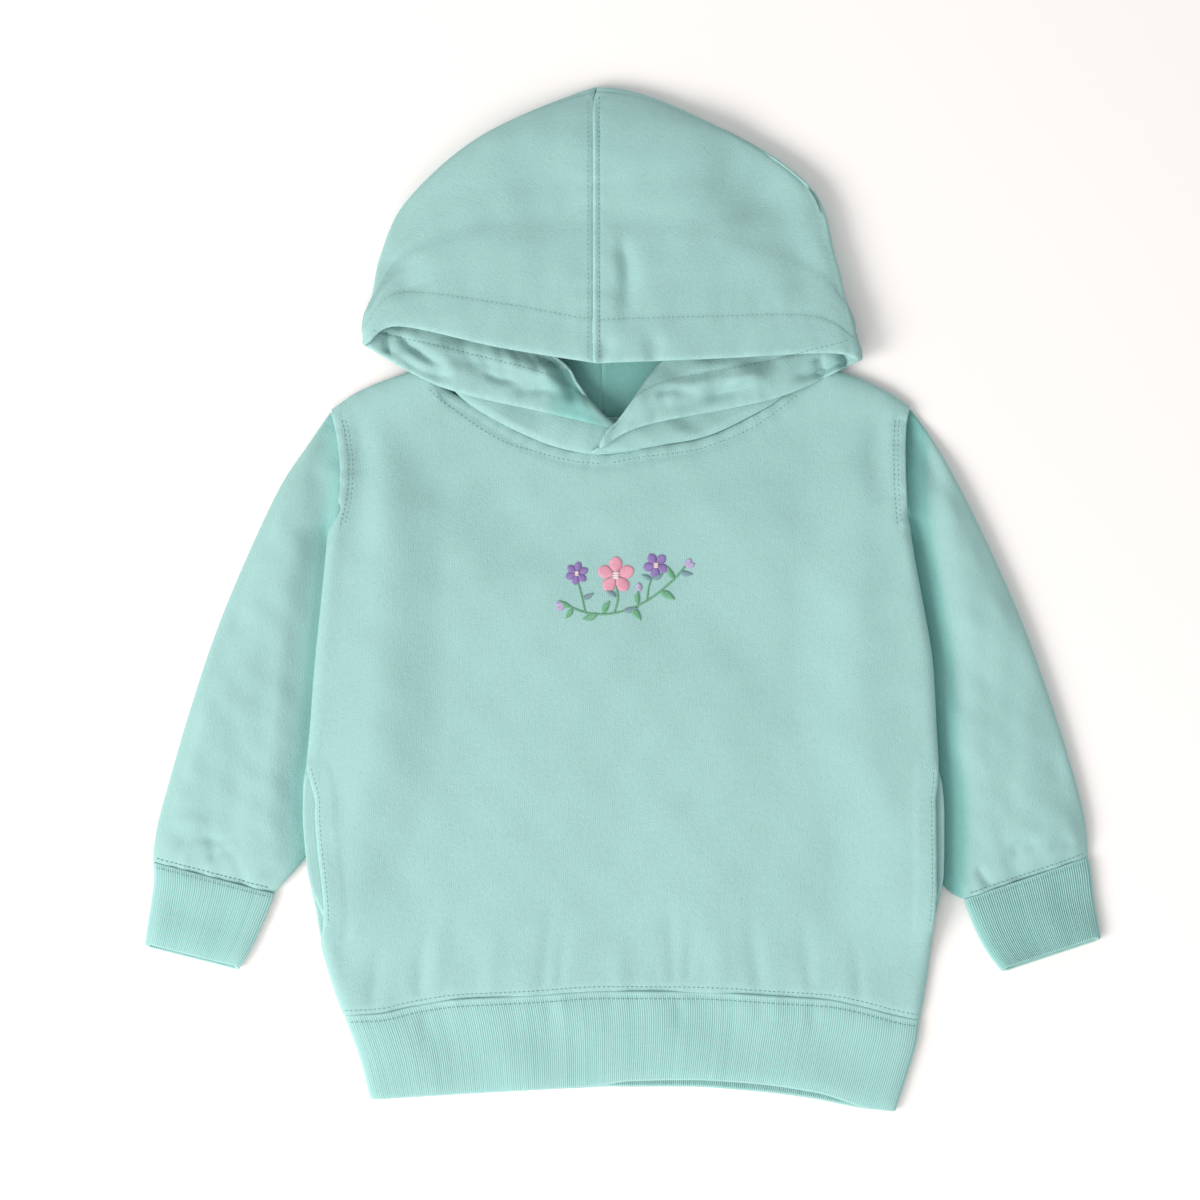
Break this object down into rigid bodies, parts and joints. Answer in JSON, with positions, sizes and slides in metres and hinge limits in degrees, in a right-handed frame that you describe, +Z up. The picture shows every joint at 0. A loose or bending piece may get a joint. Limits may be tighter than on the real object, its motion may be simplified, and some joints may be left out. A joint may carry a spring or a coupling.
{
  "type": "toddler hoodie",
  "caption": "Toddler's pullover hoodie laid flat face up: crossed hood, long sleeves, rib cuffs and waistband, side-seam pockets.",
  "frame": {"origin": "middle of the floor outline, on the surface that the garment lies on", "axes": "+Z up out of the front, +Y from the hem to the hood, +X to the right as seen from above with the hood away"},
  "size_m": [0.526, 0.5634, 0.0162],
  "materials": {
    "jersey": "soft fleece-backed cotton jersey, matt, mint green",
    "rib": "fine 1x1 cotton rib, matt, mint green"
  },
  "bodies": {
    "root": {"front_panel": "jersey", "back_panel": "jersey", "sleeve_left": "jersey", "sleeve_right": "jersey", "hood_left": "jersey", "hood_right": "jersey", "pocket_left": "jersey", "pocket_right": "jersey", "cuff_left": "rib", "cuff_right": "rib", "waistband": "rib"}
  },
  "joints": []
}
